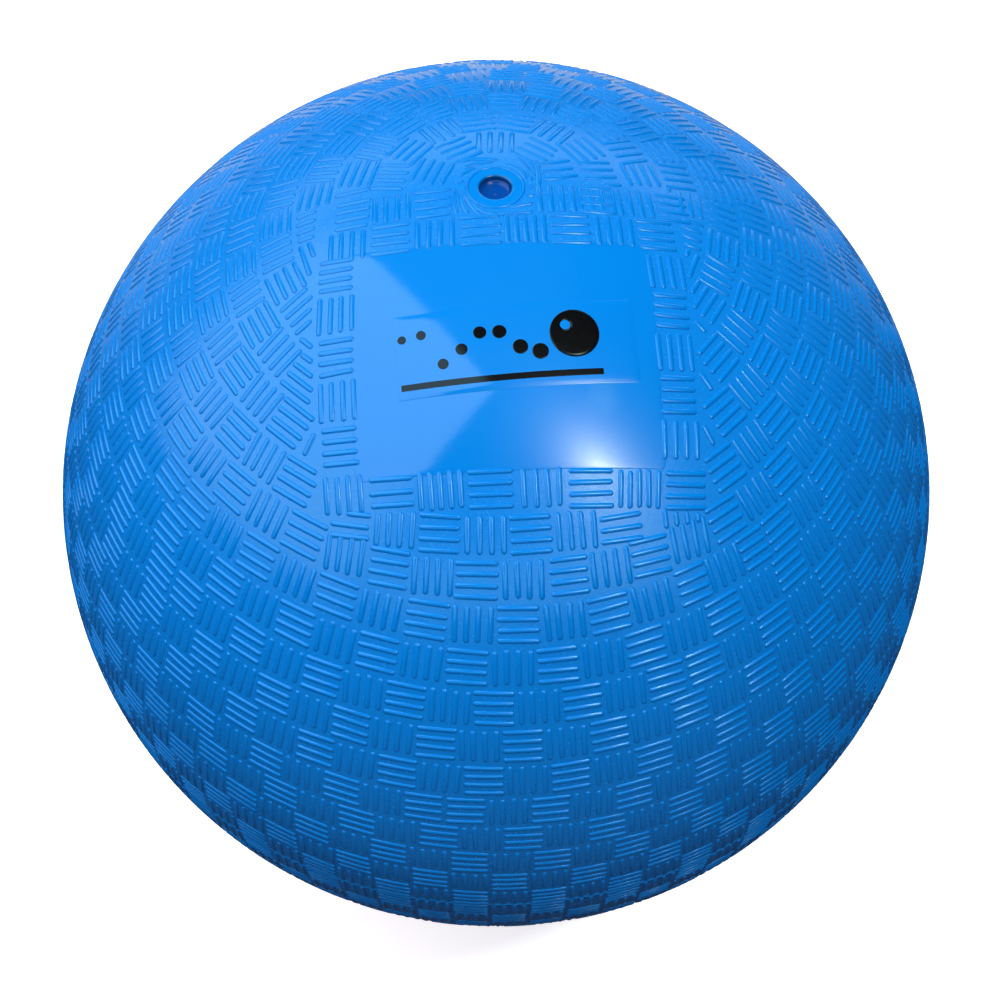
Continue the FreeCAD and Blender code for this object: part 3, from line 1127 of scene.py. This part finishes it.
class Room(Nodes):
    """The room round the ball, as the world's nodes."""

    def __init__(self):
        world = bpy.data.worlds.new("studio")
        bpy.context.scene.world = world
        super().__init__(world, "Generated")
        self.background = self.node("Background")
        output = self.node("OutputWorld")
        self.link(self.background.outputs["Background"], output.inputs["Surface"])
        split = self.node("SeparateXYZ")
        self.link(self.place, split.inputs[0])
        self.right, self.back, self.up = split.outputs

    def fade(self, value, low, high):
        """0 at low and 1 at high, with a soft run between."""
        return self.span(value, low, high, kind="SMOOTHSTEP")

    def coloured(self, colour, strength):
        """A colour made as strong as the value."""
        node = self.node("VectorMath", operation="SCALE")
        node.inputs[0].default_value = colour
        self.link(strength, node.inputs["Scale"])
        return node.outputs[0]

    def sum(self, first, second):
        node = self.node("VectorMath", operation="ADD")
        self.link(first, node.inputs[0])
        self.link(second, node.inputs[1])
        return node.outputs[0]


def key_glow(room):
    """Glow of the key light, 1 at its middle and fading outwards."""
    toward = on_ball(90 - GLOW_ELEVATION, GLOW_AZIMUTH)
    level = east(GLOW_AZIMUTH)
    squares = []
    for side, reach in ((level, GLOW_REACH[0]), (np.cross(toward, level), GLOW_REACH[1])):
        aside = room.along(side / reach)
        squares.append(room.math("MULTIPLY", aside, aside))
    away = room.math("SQRT", room.math("ADD", *squares))
    faded = room.math("EXPONENT", room.math("MULTIPLY", away, -1.0))
    return room.math("MULTIPLY", faded, room.math("GREATER_THAN", room.along(toward), 0.0))


def room_in_gloss(room):
    """How bright the room is in the gloss: dark but for the ground behind and in front."""
    low, back = room.fade(room.up, -0.02, -0.25), room.fade(room.back, 0.5, 0.85)
    shown = room.math("MULTIPLY_ADD", room.math("MULTIPLY", low, back), GROUND_BEHIND, DARK_ROOM)
    low, front = room.fade(room.up, 0.25, -0.2), room.fade(room.back, -0.3, -0.9)
    return room.math("MULTIPLY_ADD", room.math("MULTIPLY", low, front), GROUND_IN_FRONT, shown)


def room_as_light(room):
    """How strongly the room lights the ball: more from above and a little more from the right."""
    dim = room.math("MULTIPLY_ADD", room.fade(room.up, -0.3, 0.6), SHADE_ABOVE, SHADE_BELOW)
    return room.math("MULTIPLY_ADD", room.fade(room.right, -0.2, 1.0), SHADE_RIGHT, dim)


def add_world():
    """White backdrop for the camera, a dark room with a glow for gloss, a dim one for light."""
    room = Room()
    ray = room.node("LightPath")
    camera, gloss = ray.outputs["Is Camera Ray"], ray.outputs["Is Glossy Ray"]
    elsewhere = room.math("SUBTRACT", room.math("SUBTRACT", 1.0, camera), gloss)
    light = room.coloured(BACKDROP_COLOUR, camera)
    parts = (
        (SHADE_COLOUR, room_as_light(room), elsewhere),
        (BACKDROP_COLOUR, room_in_gloss(room), gloss),
        (GLOW_COLOUR, key_glow(room), gloss),
    )
    for colour, strength, seen_by in parts:
        part = room.coloured(colour, room.math("MULTIPLY", strength, seen_by))
        light = room.sum(light, part)
    room.link(light, room.background.inputs["Color"])


def add_camera():
    """Camera above the window, near enough to show the perspective of a close view."""
    away = Vector(on_ball(90 - CAMERA_ELEVATION, CAMERA_AZIMUTH))
    right = Vector(east(CAMERA_AZIMUTH))
    up = away.cross(right)
    camera = bpy.data.objects.new("camera", bpy.data.cameras.new("camera"))
    bpy.context.scene.collection.objects.link(camera)
    place = right * CAMERA_AIM[0] + up * CAMERA_AIM[1] + away * CAMERA_AWAY
    camera.matrix_world = placed(place, right, up)
    camera.data.lens = CAMERA_LENS
    camera.data.sensor_width = CAMERA_SENSOR
    camera.data.clip_start = 0.01
    bpy.context.scene.camera = camera


def build_ball():
    """Every piece of the ball, and the materials of the inner layers carried over from CAD."""
    add_cover_body(cover_rubber())
    bars = bar_rubber()
    add_grip(bars)
    add_bent_bars(bars)
    add_valve_lip(bars)
    add_window(window_rubber())
    add_mark(black_ink())
    dress("nylon_winding", nylon_thread())
    dress("bladder", butyl_rubber())
    dress("valve_patch", butyl_rubber())
    dress("valve_housing", valve_rubber())
    add_valve_core(valve_rubber())


build_ball()
add_floor()
add_softbox()
add_key_light()
add_strip_lights()
add_top_light()
add_world()
add_camera()
bpy.context.scene.view_settings.view_transform = "Standard"
